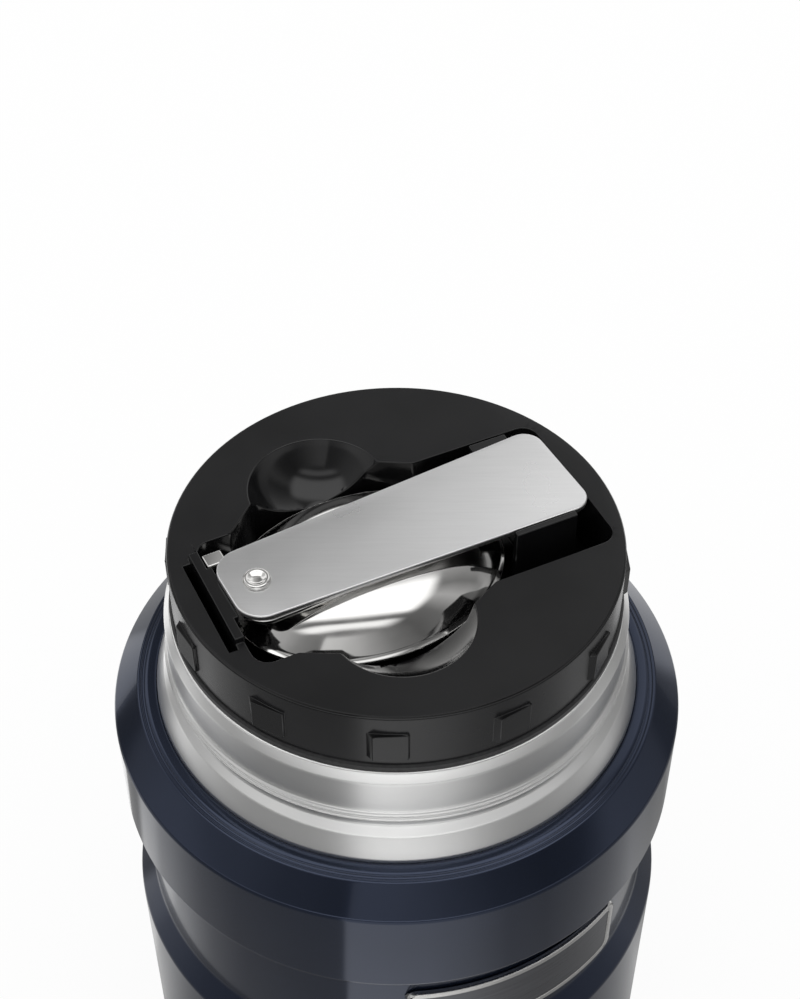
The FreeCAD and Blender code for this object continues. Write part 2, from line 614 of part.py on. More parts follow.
def build_cradle():
    tray = pocket_prism("cradle_tray", "-D.cradle_fit", "P.cap_floor", "D.cradle_wall")
    foot = "P.cap_floor + D.cradle_wall - 0.3"
    top = "P.under_handle - D.post_slack"
    front = box("front_post", "P.post_left", "-D.post_front", foot, "D.post_length",
                "D.post_wall", top + " - (" + foot + ")")
    clip = box("front_clip", "P.post_left", "-D.post_front", foot, "D.post_length",
               "D.clip_wall", "D.top_height + D.clip_proud - (" + foot + ")")
    back = box("back_post", "P.post_left + D.back_post_start", "D.back_post_inner", foot,
               "D.post_length - D.back_post_start - D.back_post_end",
               "D.back_post_outer - D.back_post_inner", top + " - (" + foot + ")")
    rest = box("tip_rest", "P.post_right - D.rest_margin", "-D.rest_half", foot,
               "D.rest_wall", "2 * D.rest_half",
               "P.under_handle - D.rest_slack - (" + foot + ")")
    whole = fuse("spoon_cradle", [tray, front, clip, back, rest])
    turn_about_z(whole, "D.pocket_turn")
    keep(whole, "spoon_cradle")


# Stopper plug, foam and seals

def build_plug():
    top = "P.cap_floor - D.cap_floor_wall"
    cup = turned_body("plug_cup", [
        ("0", "P.plug_foot"),
        ("P.plug_radius - D.plug_round", "P.plug_foot"),
        ("P.plug_radius - 0.3 * D.plug_round", "P.plug_foot + 0.3 * D.plug_round"),
        ("P.plug_radius", "P.plug_foot + D.plug_round"),
        ("P.plug_radius", top),
        ("P.plug_radius - D.plug_wall", top),
        ("P.plug_radius - D.plug_wall", "P.plug_foot + D.plug_wall"),
        ("0", "P.plug_foot + D.plug_wall")])
    drop = "P.ramp_height - D.thread_root - D.thread_slack"
    lugs = thread_ring("lug", "P.plug_radius - D.thread_bite",
                       "P.plug_radius + D.lug_crest", drop + " + D.thread_lead * D.lug_lag / 360",
                       "D.lug_lag", "D.lug_turn")
    keep(fuse("stopper_plug", [cup] + lugs), "stopper_plug")
    reach = "P.plug_radius - D.plug_wall - D.foam_gap"
    ring_inner = reach + " - D.joint_ring_width"
    foam = turned_body("foam_core", [
        ("0", "P.plug_foot + D.plug_wall"), (reach, "P.plug_foot + D.plug_wall"),
        (reach, top + " - D.joint_ring_wall"), (ring_inner, top + " - D.joint_ring_wall"),
        (ring_inner, top + " - 0.2"), ("0", top + " - 0.2")])
    keep(foam, "foam_core")
    ring = turned_body("joint_seal", [
        (ring_inner, top + " - D.joint_ring_wall"), (reach, top + " - D.joint_ring_wall"),
        (reach, top), (ring_inner, top)])
    keep(ring, "joint_seal")
    gasket = turned_body("gasket", [
        ("P.cap_spigot_radius + D.gasket_fit", "P.lip_top"),
        ("P.gasket_radius - D.gasket_round", "P.lip_top"),
        ("P.gasket_radius", "P.lip_top + D.gasket_round"),
        ("P.gasket_radius", "P.cap_foot - D.gasket_round"),
        ("P.gasket_radius - D.gasket_round", "P.cap_foot"),
        ("P.cap_spigot_radius + D.gasket_fit", "P.cap_foot")])
    keep(gasket, "gasket")


# Spoon, modelled flat with its rivet at the origin and its underside of the handle at z 0

def place_spoon_piece(thing, label):
    angle = math.radians(size_of("D.pocket_turn"))
    u = size_of("P.pivot_u")
    v = size_of("D.pivot_v")
    spot = FreeCAD.Vector(u * math.cos(angle) - v * math.sin(angle),
                          u * math.sin(angle) + v * math.cos(angle),
                          size_of("P.under_handle"))
    thing.Placement = FreeCAD.Placement(spot, FreeCAD.Rotation(0, 0, 0))
    bind(thing,
         Placement__Base__x="P.pivot_u * cos(D.pocket_turn) - D.pivot_v * sin(D.pocket_turn)",
         Placement__Base__y="P.pivot_u * sin(D.pocket_turn) + D.pivot_v * cos(D.pocket_turn)",
         Placement__Base__z="P.under_handle",
         Placement__Rotation__Angle="D.spoon_turn")
    doc.recompute()
    keep(thing, label)


def build_spoon():
    hole = cylinder("handle_hole", "D.rivet_radius + D.rivet_fit", "-1", "D.handle_wall + 2")
    plate = prism("handle_plate", [
        ("-D.handle_tail", "-D.handle_tail_half"), ("P.handle_reach", "-D.handle_end_half"),
        ("P.handle_reach", "D.handle_end_half"), ("-D.handle_tail", "D.handle_tail_half")],
        "0", "D.handle_wall",
        [((0, 3), "D.handle_tail_corner"), ((1, 2), "D.handle_end_corner")])
    place_spoon_piece(cut("spoon_handle", plate, hole), "spoon_handle")

    disc = cylinder("washer_disc", "D.washer_radius", "-D.washer_wall", "D.washer_wall")
    washer_hole = cylinder("washer_hole", "D.rivet_radius + D.rivet_fit", "-1", "2")
    place_spoon_piece(cut("friction_washer", disc, washer_hole), "friction_washer")

    top = "-D.washer_wall"
    rim = "(-D.washer_wall - D.bowl_depth)"
    dome_outer = doc.addObject("Part::Ellipsoid", "dome_outer")
    dome_inner = doc.addObject("Part::Ellipsoid", "dome_inner")
    for dome, less in ((dome_outer, "0"), (dome_inner, "D.shank_wall")):
        dome.Angle1 = -90
        dome.Angle2 = 90
        bind(dome, Radius1="P.bowl_ball_height - " + less,
             Radius2="P.bowl_length_half / P.bowl_ball_share - " + less,
             Radius3="D.bowl_half / P.bowl_ball_share - " + less,
             Placement__Base__x="P.bowl_middle",
             Placement__Base__z=rim + " - D.bowl_sink")
    outer_block = box("bowl_outer_block", "-10", "-30", rim, "80", "60",
                      top + " - " + rim)
    inner_block = box("bowl_inner_block", "-10", "-30", rim + " - 1", "80", "60",
                      top + " - D.shank_wall - " + rim + " + 1")
    outside = common("bowl_outside", [dome_outer, outer_block])
    inside = common("bowl_inside", [dome_inner, inner_block])
    shell = cut("bowl_shell", outside, inside)
    tail = "D.shank_inset - D.handle_tail"
    shank = prism("shank_plate", [
        (tail, "-D.handle_tail_half"), ("P.shank_end", "-D.handle_tail_half"),
        ("P.shank_end", "D.handle_tail_half"), (tail, "D.handle_tail_half")],
        "-D.washer_wall - D.shank_wall", "D.shank_wall",
        [((0, 3), "D.handle_tail_corner"), ((1, 2), "D.handle_tail_half - 0.5")])
    bowl = fuse("bowl_solid", [shell, shank])
    rivet_hole = cylinder("shank_hole", "D.rivet_radius", "-5", "10")
    place_spoon_piece(cut("spoon_bowl", bowl, rivet_hole), "spoon_bowl")

    foot = "-D.washer_wall - D.shank_wall"
    head = "D.handle_wall + D.rivet_fit"
    rivet = turned_body("rivet", [
        ("0", foot + " - D.rivet_foot_height"),
        ("D.rivet_head_radius - 0.3", foot + " - D.rivet_foot_height"),
        ("D.rivet_head_radius", foot + " - 0.5 * D.rivet_foot_height"),
        ("D.rivet_head_radius", foot),
        ("D.rivet_radius", foot),
        ("D.rivet_radius", head),
        ("D.rivet_head_radius", head),
        ("D.rivet_head_radius", head + " + 0.3 * D.rivet_head_height"),
        ("0.6 * D.rivet_head_radius", head + " + 0.85 * D.rivet_head_height"),
        ("0", head + " + D.rivet_head_height")])
    place_spoon_piece(rivet, "rivet")


build_outer_shell()
build_neck()
build_inner_vessel()
build_vacuum_parts()
build_bottom()
build_nameplate()
build_stopper_cap()
build_cradle()
build_plug()
build_spoon()
doc.recompute()

for thing in doc.Objects:
    if "Invalid" in thing.State or "Error" in thing.State:
        raise RuntimeError("%s is in state %s" % (thing.Name, thing.State))
for thing in nodes:
    if not thing.Shape.isValid() or not thing.Shape.Solids:
        raise RuntimeError("%s has no valid solid" % thing.Label)
    if len(thing.Shape.Solids) != 1:
        raise RuntimeError("%s has %d solids" % (thing.Label, len(thing.Shape.Solids)))

os.makedirs("parts", exist_ok=True)
for thing in nodes:
    thing.Shape.exportStep("parts/%s.step" % thing.Label)
    print("%-18s volume %10.1f" % (thing.Label, thing.Shape.Volume))
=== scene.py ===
import math
import bmesh
import bpy
from mathutils import Euler, Matrix


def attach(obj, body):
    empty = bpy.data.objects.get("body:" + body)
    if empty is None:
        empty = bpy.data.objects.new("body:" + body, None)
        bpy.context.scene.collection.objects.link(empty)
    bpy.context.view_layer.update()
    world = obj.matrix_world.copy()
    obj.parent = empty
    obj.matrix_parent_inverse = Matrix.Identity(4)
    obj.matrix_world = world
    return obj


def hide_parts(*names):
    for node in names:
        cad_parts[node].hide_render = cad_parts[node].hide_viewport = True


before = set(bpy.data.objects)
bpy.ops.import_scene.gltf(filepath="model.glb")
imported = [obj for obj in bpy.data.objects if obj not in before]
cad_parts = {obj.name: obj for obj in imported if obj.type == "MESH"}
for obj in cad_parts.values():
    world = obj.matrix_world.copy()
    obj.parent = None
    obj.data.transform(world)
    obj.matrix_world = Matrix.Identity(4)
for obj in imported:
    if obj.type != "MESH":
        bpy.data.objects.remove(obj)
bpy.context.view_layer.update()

mm = 0.001
weld = 0.002            # mm, points nearer than this become one
near = 0.01             # mm, how closely an edge is looked up by its place
spoonTurn = 28.0        # degrees, how the folded spoon lies in its pocket
scene = bpy.context.scene
scene.view_settings.view_transform = "Standard"
print("frame loaded:", len(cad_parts), "nodes")


# Takes a screen colour to the linear one that sockets hold
def hexColour(text):
    parts = [int(text[i:i + 2], 16) / 255 for i in (1, 3, 5)]
    return tuple(c / 12.92 if c <= 0.04045 else ((c + 0.055) / 1.055) ** 2.4 for c in parts) + (1.0,)


def addNode(tree, kind, values=None, links=None, **settings):
    node = tree.nodes.new(kind)
    for name, value in settings.items():
        setattr(node, name, value)
    for key, value in (values or {}).items():
        node.inputs[key].default_value = value
    for key, source in (links or {}).items():
        tree.links.new(source, node.inputs[key])
    return node


def startMaterial(name, **sockets):
    material = bpy.data.materials.new(name)
    material.use_nodes = True
    tree = material.node_tree
    shader = tree.nodes["Principled BSDF"]
    for key, value in sockets.items():
        shader.inputs[key.replace("_", " ")].default_value = value
    coords = addNode(tree, "ShaderNodeTexCoord")
    return material, tree, shader, coords.outputs["Object"]


def rampNode(tree, source, stops):
    ramp = addNode(tree, "ShaderNodeValToRGB", links={"Fac": source})
    elements = ramp.color_ramp.elements
    elements[0].position, elements[0].color = stops[0][0], stops[0][1]
    elements[1].position, elements[1].color = stops[-1][0], stops[-1][1]
    for position, colour in stops[1:-1]:
        elements.new(position).color = colour
    return ramp.outputs["Color"]


def grey(value):
    return (value, value, value, 1)


# Noise whose clouds are about size mm wide
def noiseNode(tree, coords, size, detail=2.0):
    noise = addNode(tree, "ShaderNodeTexNoise", {"Scale": 1 / (size * mm), "Detail": detail},
                    {"Vector": coords})
    return noise.outputs["Fac"]


# Noise drawn out into hair lines by a stretched space
def grainNode(tree, coords, stretch, detail, turn=0.0):
    space = addNode(tree, "ShaderNodeMapping", {"Rotation": (0, 0, math.radians(-turn)), "Scale": stretch},
                    {"Vector": coords})
    grain = addNode(tree, "ShaderNodeTexNoise", {"Scale": 1.0, "Detail": detail},
                    {"Vector": space.outputs[0]})
    return grain.outputs["Fac"]


# Cells about size mm wide
def cellNode(tree, coords, size):
    cells = addNode(tree, "ShaderNodeTexVoronoi", {"Scale": 1 / (size * mm)}, {"Vector": coords})
    return cells.outputs["Distance"]


def bumpNode(tree, height, strength, depth):
    bump = addNode(tree, "ShaderNodeBump", {"Strength": strength, "Distance": depth * mm},
                   {"Height": height})
    return bump.outputs["Normal"]


# Both ramps run between two levels of a noise, from its dark value to its light one
def colourRamp(tree, source, low, high, dark, light):
    return rampNode(tree, source, [(low, hexColour(dark)), (high, hexColour(light))])


def greyRamp(tree, source, low, high, dark, light):
    return rampNode(tree, source, [(low, grey(dark)), (high, grey(light))])


def plugIn(tree, shader, colour, rough=None, normal=None):
    sockets = {"Base Color": colour, "Roughness": rough, "Normal": normal}
    for name, source in sockets.items():
        if source is not None:
            tree.links.new(source, shader.inputs[name])


# Metallic navy paint under a clear coat: the flake gives blue reflections, the coat sharp ones
def navyClearCoat():
    material, tree, shader, coords = startMaterial(
        "navyClearCoat", Roughness=0.12, Metallic=0.8, Coat_Weight=0.3, Coat_Roughness=0.03)
    cloud = noiseNode(tree, coords, size=22, detail=4.0)
    peel = bumpNode(tree, noiseNode(tree, coords, size=1.6), strength=0.04, depth=0.01)
    plugIn(tree, shader, colourRamp(tree, cloud, 0.35, 0.65, "#283042", "#2b3346"),
           greyRamp(tree, cloud, 0.3, 0.7, 0.10, 0.15), peel)
    tree.links.new(peel, shader.inputs["Coat Normal"])
    return material


# Stainless steel turned on a lathe: hair lines run round the jar, so highlights stand upright
def turnedSteel(name, low, high, shade="#d5d4d2", light="#e6e5e3", lineDepth=0.025):
    material, tree, shader, coords = startMaterial(name, Metallic=1.0, Roughness=low)
    lines = grainNode(tree, coords, stretch=(60, 60, 9000), detail=4.0)
    smear = noiseNode(tree, coords, size=9, detail=5.0)
    plugIn(tree, shader, colourRamp(tree, smear, 0.3, 0.7, shade, light),
           greyRamp(tree, lines, 0.3, 0.7, low, high),
           bumpNode(tree, lines, strength=lineDepth, depth=0.01))
    return material


# Stainless steel sheet, brushed along the handle and then tumbled: a plain satin grey
def satinSheetSteel():
    material, tree, shader, coords = startMaterial("satinSheetSteel", Metallic=1.0, Roughness=0.3)
    grain = grainNode(tree, coords, stretch=(120, 2600, 2600), detail=5.0, turn=spoonTurn)
    marks = noiseNode(tree, coords, size=14, detail=6.0)
    plugIn(tree, shader, colourRamp(tree, grain, 0.3, 0.7, "#eaeaea", "#eeeeee"),
           greyRamp(tree, marks, 0.35, 0.65, 0.27, 0.33),
           bumpNode(tree, grain, strength=0.008, depth=0.01))
    return material


# Stainless steel pressed and buffed to a mirror: sharp reflections with a trace of wiping marks
def mirrorSteel():
    material, tree, shader, coords = startMaterial("mirrorSteel", Metallic=1.0, Roughness=0.07)
    wipe = noiseNode(tree, coords, size=5, detail=6.0)
    plugIn(tree, shader, colourRamp(tree, wipe, 0.3, 0.7, "#dcdbd9", "#e6e5e3"),
           greyRamp(tree, wipe, 0.35, 0.65, 0.06, 0.10))
    return material


# Black polypropylene: a satin grain or a clean polish, as the mould left it, over faint flow clouds
def mouldedPolypropylene(name, dark, light, low, high, grain, shine=0.5):
    material, tree, shader, coords = startMaterial(name, Roughness=low, IOR=1.49, Specular_IOR_Level=shine)
    flow = noiseNode(tree, coords, size=18, detail=3.0)
    pits = noiseNode(tree, coords, size=0.35, detail=3.0)
    plugIn(tree, shader, colourRamp(tree, flow, 0.35, 0.65, dark, light),
           greyRamp(tree, flow, 0.3, 0.7, low, high),
           bumpNode(tree, pits, strength=grain, depth=0.02))
    return material


# Dark anodised metal, brushed along the nameplate's width: a soft grey sheen in fine lines
def darkBrushedField():
    material, tree, shader, coords = startMaterial("darkBrushedField", Metallic=0.85, Roughness=0.3)
    lines = grainNode(tree, coords, stretch=(90, 90, 6500), detail=4.0)
    plugIn(tree, shader, colourRamp(tree, lines, 0.3, 0.7, "#58595d", "#6e6f73"),
           greyRamp(tree, lines, 0.3, 0.7, 0.26, 0.38),
           bumpNode(tree, lines, strength=0.12, depth=0.01))
    return material


# Silicone rubber: soft and dull, with a faint dusty grain
def siliconeRubber(name, dark, light, grit):
    material, tree, shader, coords = startMaterial(name, Roughness=0.55, IOR=1.42, Sheen_Weight=0.15)
    dust = noiseNode(tree, coords, size=grit, detail=5.0)
    plugIn(tree, shader, colourRamp(tree, dust, 0.35, 0.65, dark, light),
           normal=bumpNode(tree, dust, strength=0.15, depth=0.02))
    return material


# Closed-cell foam: pale cells about half a millimetre wide
def closedCellFoam():
    material, tree, shader, coords = startMaterial("closedCellFoam", Roughness=0.9, IOR=1.4)
    cells = cellNode(tree, coords, size=0.6)
    plugIn(tree, shader, colourRamp(tree, cells, 0.0, 0.8, "#b9b39c", "#e8e4d2"),
           normal=bumpNode(tree, cells, strength=0.5, depth=0.1))
    return material


# Aluminium foil: bright, with shallow creases from being wrapped
def wrappedFoil():
    material, tree, shader, coords = startMaterial("wrappedFoil", Metallic=1.0, Roughness=0.2)
    crease = cellNode(tree, coords, size=6)
    plugIn(tree, shader, colourRamp(tree, crease, 0.0, 0.7, "#cfd0d2", "#e4e5e7"),
           normal=bumpNode(tree, crease, strength=0.3, depth=0.2))
    return material


# Small pieces with a fine speckle: the sintered getter, the fused glass bead and the nylon washer
def speckledPiece(name, dark, light, metallic, rough):
    material, tree, shader, coords = startMaterial(name, Metallic=metallic, Roughness=rough)
    speck = noiseNode(tree, coords, size=0.8, detail=6.0)
    plugIn(tree, shader, colourRamp(tree, speck, 0.35, 0.65, dark, light))
    return material


finishes = {
    "navyCoat": navyClearCoat(),
    "neckSteel": turnedSteel("turnedNeckSteel", low=0.3, high=0.34, shade="#efefee", light="#f6f6f5",
                             lineDepth=0.01),
    "linerSteel": turnedSteel("turnedLinerSteel", low=0.22, high=0.34, shade="#bdbcb9", light="#d0cfcc"),
    "baseSteel": turnedSteel("turnedBaseSteel", low=0.2, high=0.3),
    "handleSteel": satinSheetSteel(),
    "bowlSteel": mirrorSteel(),
    "capPlastic": mouldedPolypropylene("sparkErodedPolypropylene", "#151516", "#1b1b1c",
                                       low=0.34, high=0.42, grain=0.08, shine=0.25),
    "skirtPlastic": mouldedPolypropylene("drawnPolypropylene", "#161617", "#1c1c1d",
                                         low=0.22, high=0.28, grain=0.04),
    "pocketPlastic": mouldedPolypropylene("polishedPolypropylene", "#0c0c0d", "#121213",
                                          low=0.10, high=0.16, grain=0.02),
    "plugPlastic": mouldedPolypropylene("plainPolypropylene", "#161617", "#1d1d1e",
                                        low=0.4, high=0.5, grain=0.06),
    "plateField": darkBrushedField(),
    "silicone": siliconeRubber("greySilicone", "#1b1b1c", "#262627", grit=0.7),
    "footRubber": siliconeRubber("footRubber", "#101010", "#1a1a1a", grit=1.2),
    "tape": siliconeRubber("plateTape", "#1c1c1c", "#2a2a2a", grit=0.5),
    "foam": closedCellFoam(),
    "foil": wrappedFoil(),
    "getter": speckledPiece("bariumGetter", "#4a4a4c", "#77777a", metallic=0.8, rough=0.6),
    "bead": speckledPiece("fusedGlassBead", "#2c2013", "#5b4630", metallic=0.0, rough=0.15),
    "nylon": speckledPiece("nylonWasher", "#c9c7bf", "#deddd6", metallic=0.0, rough=0.5),
}
print("materials made:", len(finishes))

nodeFinish = {
    "outer_shell": "navyCoat", "neck_sleeve": "neckSteel", "inner_vessel": "linerSteel",
    "radiation_foil": "foil", "getter": "getter", "outer_bottom": "linerSteel",
    "vacuum_seal": "bead", "base_cover": "baseSteel", "foot_pad": "footRubber",
    "nameplate": "baseSteel", "nameplate_field": "plateField", "nameplate_tape": "tape",
    "stopper_cap": "capPlastic", "spoon_cradle": "pocketPlastic", "stopper_plug": "plugPlastic",
    "foam_core": "foam", "joint_seal": "silicone", "gasket": "silicone",
    "spoon_handle": "handleSteel", "friction_washer": "nylon", "spoon_bowl": "bowlSteel",
    "rivet": "bowlSteel",
}
for node, finish in nodeFinish.items():
    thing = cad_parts[node]
    thing.data.materials.clear()
    thing.data.materials.append(finishes[finish])


def finishPiece(bm, name, node, materials, body):
    mesh = bpy.data.meshes.new(name)
    bm.to_mesh(mesh)
    bm.free()
    for material in materials:
        mesh.materials.append(finishes[material])
    for face in mesh.polygons:
        face.use_smooth = True
    piece = bpy.data.objects.new(name, mesh)
    scene.collection.objects.link(piece)
    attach(piece, body)
    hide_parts(node)
    return piece


# Rounds the edges that turn more than s["sharp"] degrees, or those that carry a weight; without a finish
# of its own the rounding takes that of the faces beside it
def roundEdges(piece, s, limit="ANGLE", finish=-1):
    bevel = piece.modifiers.new("roundedEdges", "BEVEL")
    bevel.width = s["edge"] * mm
    bevel.segments = s["edgeSteps"]
    bevel.limit_method = limit
    bevel.angle_limit = math.radians(s["sharp"])
    bevel.profile = 0.5
    bevel.use_clamp_overlap = False
    bevel.material = finish
    piece.modifiers.new("evenShading", "WEIGHTED_NORMAL")


# A node's mesh with its flat faces made whole; two cuts through the axis keep them free of holes
copied = {
    "nearCut": 0.0005,      # mm, points this near to a cut lie on it
    "flat": 0.6,            # degrees between faces that count as one
    "mostCorners": 12,      # faces with more are split again, so that they shade evenly
}


def copyNode(node, s=copied):
    bm = bmesh.new()
    bm.from_mesh(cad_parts[node].data)
    bmesh.ops.remove_doubles(bm, verts=bm.verts, dist=weld * mm)
    for side in ((1, 0, 0), (0, 1, 0)):
        made = bmesh.ops.bisect_plane(bm, geom=bm.verts[:] + bm.edges[:] + bm.faces[:],
                                      dist=s["nearCut"] * mm, plane_co=(0, 0, 0), plane_no=side)["geom_cut"]
        for edge in made:
            if isinstance(edge, bmesh.types.BMEdge):
                edge.seam = True
    bmesh.ops.dissolve_limit(bm, angle_limit=math.radians(s["flat"]), verts=bm.verts, edges=bm.edges,
                             delimit={"SEAM"})
    large = [f for f in bm.faces if len(f.verts) > s["mostCorners"]]
    bmesh.ops.triangulate(bm, faces=large, ngon_method="BEAUTY")
    return bm


# Section turned about the Z axis; a closed one comes back to its first point
def spinSection(section, steps, unit=1.0, closed=False):
    bm = bmesh.new()
    points = [bm.verts.new((r * unit, 0, z * unit)) for r, z in section]
    ends = points[1:] + points[:1] if closed else points[1:]
    edges = [bm.edges.new(pair) for pair in zip(points, ends)]
    bmesh.ops.spin(bm, geom=points + edges, cent=(0, 0, 0), axis=(0, 0, 1), angle=math.tau,
                   steps=steps, use_merge=True, use_duplicate=False)
    bmesh.ops.remove_doubles(bm, verts=bm.verts, dist=weld * unit)
    return bm


def turnedPiece(s):
    bm = spinSection(s["profile"], s["steps"], unit=mm, closed=True)
    bmesh.ops.recalc_face_normals(bm, faces=bm.faces)
    return bm


# Painted shell: collar ring, waist and body pressed from one tube, every bend rolled to a small radius
shell = {
    "steps": 180,
    "edge": 0.45, "sharp": 14, "edgeSteps": 3,      # mm, degrees, segments
    "profile": [(47.0, 3.2), (47.0, 43.8), (44.3, 48.2), (44.3, 70.45), (46.5, 70.9), (47.0, 71.5),
                (47.0, 89.2), (42.6, 93.5), (41.9, 93.2), (41.4, 93.7), (39.5, 93.8), (39.5, 93.2),
                (41.4, 92.9), (46.0, 88.7), (46.0, 72.1), (43.3, 71.3), (43.3, 47.9), (46.0, 43.5),
                (46.0, 3.2)],
}


def buildShell(s):
    piece = finishPiece(turnedPiece(s), "paintedShell", "outer_shell", ["navyCoat"], "jar")
    roundEdges(piece, s)
    print("shell built")


# Neck: lip, plain band, two rolled ridges and a hollow, then the flare that tucks under the ledge
neck = {
    "steps": 180,
    "edge": 0.28, "sharp": 14, "edgeSteps": 3,
    "profile": [(39.5, 93.5), (39.5, 94.4), (38.0, 98.2), (36.8, 99.7), (36.8, 101.0), (37.5, 101.5),
                (37.5, 101.85), (37.0, 102.2), (37.5, 102.55), (37.5, 102.9), (37.0, 103.3),
                (37.0, 109.8), (36.0, 111.5), (35.2, 111.5), (35.2, 110.4), (36.3, 109.2), (36.3, 101.2),
                (36.1, 100.6), (36.1, 99.7), (37.3, 97.7), (38.3, 93.5)],
}


def buildNeck(s):
    piece = finishPiece(turnedPiece(s), "turnedNeck", "neck_sleeve", ["neckSteel"], "jar")
    roundEdges(piece, s)
    print("neck built")


# Cap: one moulding, satin on top, smoother on the skirt, polished in the pocket, scoops and grips
cap = {
    "edge": 0.18, "sharp": 32, "edgeSteps": 3,
    "thinEdge": 0.45,                                       # share of that on the shallow grips
    "polishedRadius": 33.6, "polishedTop": 123.15,          # mm, the pocket and the scoops lie within
    "raised": 123.5,                                        # the rib at the pocket's end stands above this
    "skirtRadius": 35.0, "skirtTop": 122.6, "gripRadius": 35.5,
    "finishes": ["capPlastic", "pocketPlastic", "skirtPlastic"],
}


def reach(spot):
    return math.hypot(spot.x, spot.y)


def buildCap(s):
    bm = copyNode("stopper_cap")
    pocket = s["finishes"].index("pocketPlastic")
    skirt = s["finishes"].index("skirtPlastic")
    for face in bm.faces:
        middle = face.calc_center_median()
        level = middle.z < s["polishedTop"] * mm or middle.z > s["raised"] * mm
        if level and reach(middle) < s["polishedRadius"] * mm:
            face.material_index = pocket
        if reach(middle) > s["skirtRadius"] * mm and middle.z < s["skirtTop"] * mm:
            face.material_index = skirt
        if reach(middle) > s["gripRadius"] * mm:
            face.material_index = pocket
    weight = bm.edges.layers.float.new("bevel_weight_edge")
    for edge in bm.edges:
        spot = edge.verts[0].co
        if edge.calc_face_angle(0) > math.radians(s["sharp"]):
            thin = spot.z < s["polishedTop"] * mm and reach(spot) > s["polishedRadius"] * mm
            edge[weight] = s["thinEdge"] if thin else 1.0
    piece = finishPiece(bm, "mouldedCap", "stopper_cap", s["finishes"], "stopper")
    roundEdges(piece, s, "WEIGHT", pocket)
    print("cap built")


# Cradle: the glossy liner of the pocket, with the ribs and posts that hold the spoon
cradle = {"edge": 0.24, "sharp": 32, "edgeSteps": 3}


def buildCradle(s):
    piece = finishPiece(copyNode("spoon_cradle"), "mouldedCradle", "spoon_cradle",
                        ["pocketPlastic"], "stopper")
    roundEdges(piece, s)
    print("cradle built")


# Nameplate's frame: cast bright, so its corners are soft
plate = {"edge": 0.22, "sharp": 32, "edgeSteps": 2}


def buildPlate(s):
    piece = finishPiece(copyNode("nameplate"), "castPlateFrame", "nameplate",
                        ["baseSteel"], "jar")
    roundEdges(piece, s)
    print("plate built")


# Spoon pieces are modelled in mm along +X with the rivet at the origin, then turned into the pocket
spoon = {
    "place": (-20.742, -11.092, 124.6),                                 # foot of the handle at the rivet
    "length": 22.75, "half": 17.4, "middle": 18.35, "wall": 0.8,        # bowl: half axes, middle, sheet
    # half section of the bowl over its narrow side: radius and height under the handle
    "bowlProfile": [(0.0, -0.27), (5.0, -0.42), (8.0, -0.87), (10.5, -1.62), (12.5, -2.6), (14.2, -3.8),
                    (15.6, -5.1), (16.4, -5.95), (16.75, -6.35), (17.4, -6.8)],
    "lineSteps": 6, "steps": 144,
    "tail": 4.3, "shankHalf": 7.15, "shankEnd": 24.0, "tailRound": 4.0, "tailSteps": 10,
    "tab": (-5.0, -1.8, 7.0, 9.7),                                      # x from and to, y from and to
    "sheet": 1.0, "sheetMiddle": -0.75,                                 # shank and tab: wall and mid height
    "edge": 0.3, "sharp": 40, "edgeSteps": 2,
}


def seatSpoonPiece(bm):
    seat = Matrix.Translation([c * mm for c in spoon["place"]])
    turned = seat @ Matrix.Rotation(math.radians(spoonTurn), 4, "Z")
    bmesh.ops.transform(bm, matrix=turned @ Matrix.Scale(mm, 4), verts=bm.verts)


# Flat slab between two corners, at the height of the spoon's sheet
def addSlab(bm, s, left, right, low, high):
    slab = bmesh.ops.create_cube(bm, size=s["sheet"])["verts"]
    size = ((right - left) / s["sheet"], (high - low) / s["sheet"], 1)
    bmesh.ops.scale(bm, vec=size, verts=slab)
    bmesh.ops.translate(bm, vec=(0.5 * (left + right), 0.5 * (low + high), s["sheetMiddle"]), verts=slab)
    return slab


# Draws a soft line through the given points, with some steps between each two
def smoothLine(points, steps):
    line = []
    ends = [points[0]] + points + [points[-1]]
    for a, b, c, d in zip(ends, ends[1:], ends[2:], ends[3:]):
        for i in range(steps):
            t = i / steps
            line.append(tuple(0.5 * (2 * q + (r - p) * t + (2 * p - 5 * q + 4 * r - w) * t * t
                                     + (3 * q - p - 3 * r + w) * t ** 3)
                              for p, q, r, w in zip(a, b, c, d)))
    return line + [points[-1]]


def buildBowl(s):
    bm = spinSection(smoothLine(s["bowlProfile"], s["lineSteps"]), s["steps"])
    bmesh.ops.scale(bm, vec=(s["length"] / s["half"], 1, 1), verts=bm.verts)
    bmesh.ops.translate(bm, vec=(s["middle"], 0, 0), verts=bm.verts)
    bmesh.ops.recalc_face_normals(bm, faces=bm.faces)
    bmesh.ops.solidify(bm, geom=bm.faces[:], thickness=s["wall"])
    bmesh.ops.recalc_face_normals(bm, faces=bm.faces)
    shank = addSlab(bm, s, -s["tail"], s["shankEnd"], -s["shankHalf"], s["shankHalf"])
    corners = [e for e in bm.edges if e.verts[0] in shank and abs(e.verts[0].co.x + s["tail"]) < near
               and (e.verts[0].co - e.verts[1].co).xy.length < near]
    bmesh.ops.bevel(bm, geom=corners, offset=s["tailRound"], offset_type="OFFSET", affect="EDGES",
                    segments=s["tailSteps"], profile=0.5, material=-1)
    addSlab(bm, s, *s["tab"])
    seatSpoonPiece(bm)
    piece = finishPiece(bm, "pressedBowl", "spoon_bowl", ["bowlSteel"], "spoon")
    roundEdges(piece, s)
    print("bowl built")


# Handle: blanked from sheet, wider towards its free end, tumbled so that its edges are rolled over
handle = {
    "tail": 4.9, "reach": 53.4, "tailHalf": 7.15, "endHalf": 9.7,
    "tailRound": 4.2, "endRound": 3.4, "cornerSteps": 14,
    "wall": 1.0, "edge": 0.22, "edgeSteps": 4,
}


